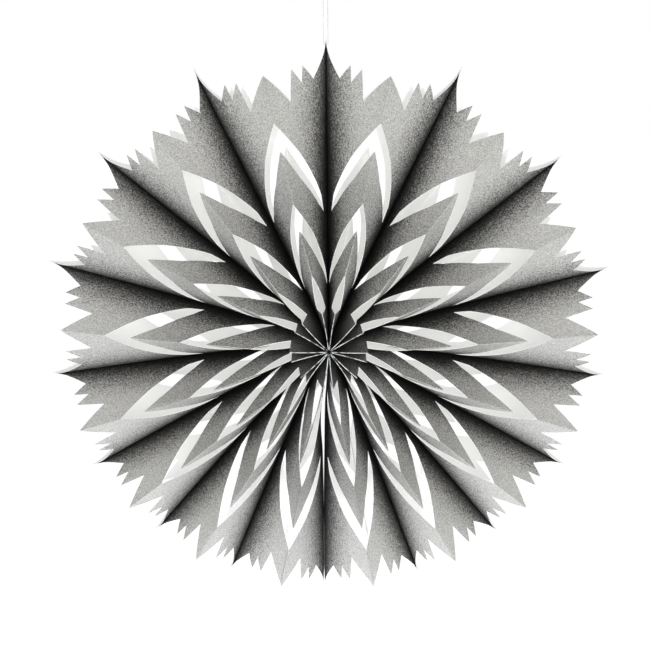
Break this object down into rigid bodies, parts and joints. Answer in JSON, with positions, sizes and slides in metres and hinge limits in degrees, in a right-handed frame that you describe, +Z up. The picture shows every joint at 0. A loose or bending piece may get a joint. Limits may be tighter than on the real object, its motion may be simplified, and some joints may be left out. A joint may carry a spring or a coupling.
{
  "type": "paper fan medallion",
  "caption": "Round hanging paper star of folded, fanned-out paper bags with cut slots and a toothed rim, on a thread loop, hung as a window or wall decoration",
  "frame": {"origin": "under the knot of the hanging loop, on the line where a hook or nail carries it", "axes": "+Z up along the hanging thread, -Y towards the viewer in front of the star, +X to the viewer's right"},
  "size_m": [0.593, 0.1568, 0.6518],
  "materials": {
    "printed_paper": "matt printed paper, grey with black folds, white inside",
    "tape": "matt",
    "thread": "twisted cotton"
  },
  "bodies": {
    "root": {"fold_1_front": "printed_paper", "fold_1_back": "printed_paper", "fold_2_front": "printed_paper", "fold_2_back": "printed_paper", "fold_3_front": "printed_paper", "fold_3_back": "printed_paper", "fold_4_front": "printed_paper", "fold_4_back": "printed_paper", "fold_5_front": "printed_paper", "fold_5_back": "printed_paper", "fold_6_front": "printed_paper", "fold_6_back": "printed_paper", "fold_7_front": "printed_paper", "fold_7_back": "printed_paper", "fold_8_front": "printed_paper", "fold_8_back": "printed_paper", "fold_9_front": "printed_paper", "fold_9_back": "printed_paper", "fold_10_front": "printed_paper", "fold_10_back": "printed_paper", "fold_11_front": "printed_paper", "fold_11_back": "printed_paper", "fold_12_front": "printed_paper", "fold_12_back": "printed_paper", "fold_13_front": "printed_paper", "fold_13_back": "printed_paper", "fold_14_front": "printed_paper", "fold_14_back": "printed_paper", "fold_15_front": "printed_paper", "fold_15_back": "printed_paper", "fold_16_front": "printed_paper", "fold_16_back": "printed_paper", "closing_tape": "tape", "hanging_thread": "thread", "thread_knot": "thread"}
  },
  "joints": []
}
